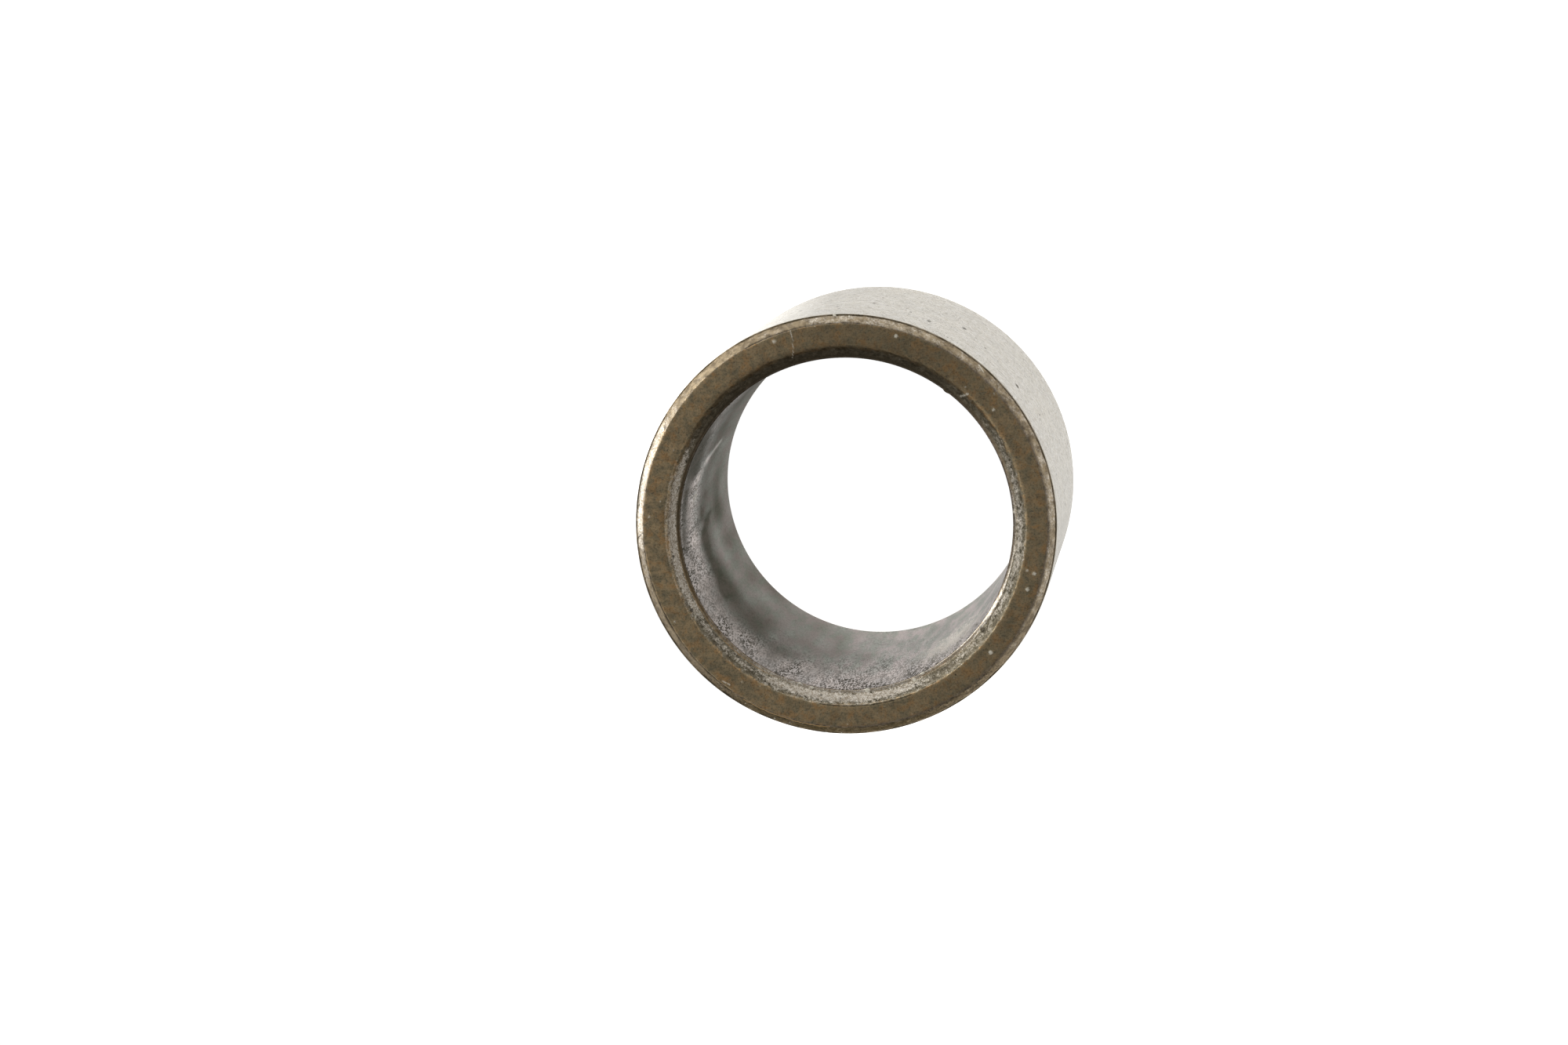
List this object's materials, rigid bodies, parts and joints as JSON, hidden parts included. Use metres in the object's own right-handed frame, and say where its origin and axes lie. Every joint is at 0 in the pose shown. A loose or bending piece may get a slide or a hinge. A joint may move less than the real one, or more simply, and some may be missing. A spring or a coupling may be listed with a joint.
{
  "type": "plain sleeve bearing bushing",
  "caption": "Straight cylindrical sintered bronze sleeve bushing with chamfered ends, pressed into a housing to carry a rotating shaft.",
  "frame": {"origin": "centre of the lower end face, on the bore axis", "axes": "+Z along the bore axis; the part is round, so +X and +Y are any two directions square to it"},
  "size_m": [0.019, 0.019, 0.02],
  "materials": {
    "sintered_bronze": "dull porous sintered bronze with burnished running and press-fit walls"
  },
  "bodies": {
    "root": {"bushing_sleeve": "sintered_bronze"}
  },
  "joints": []
}
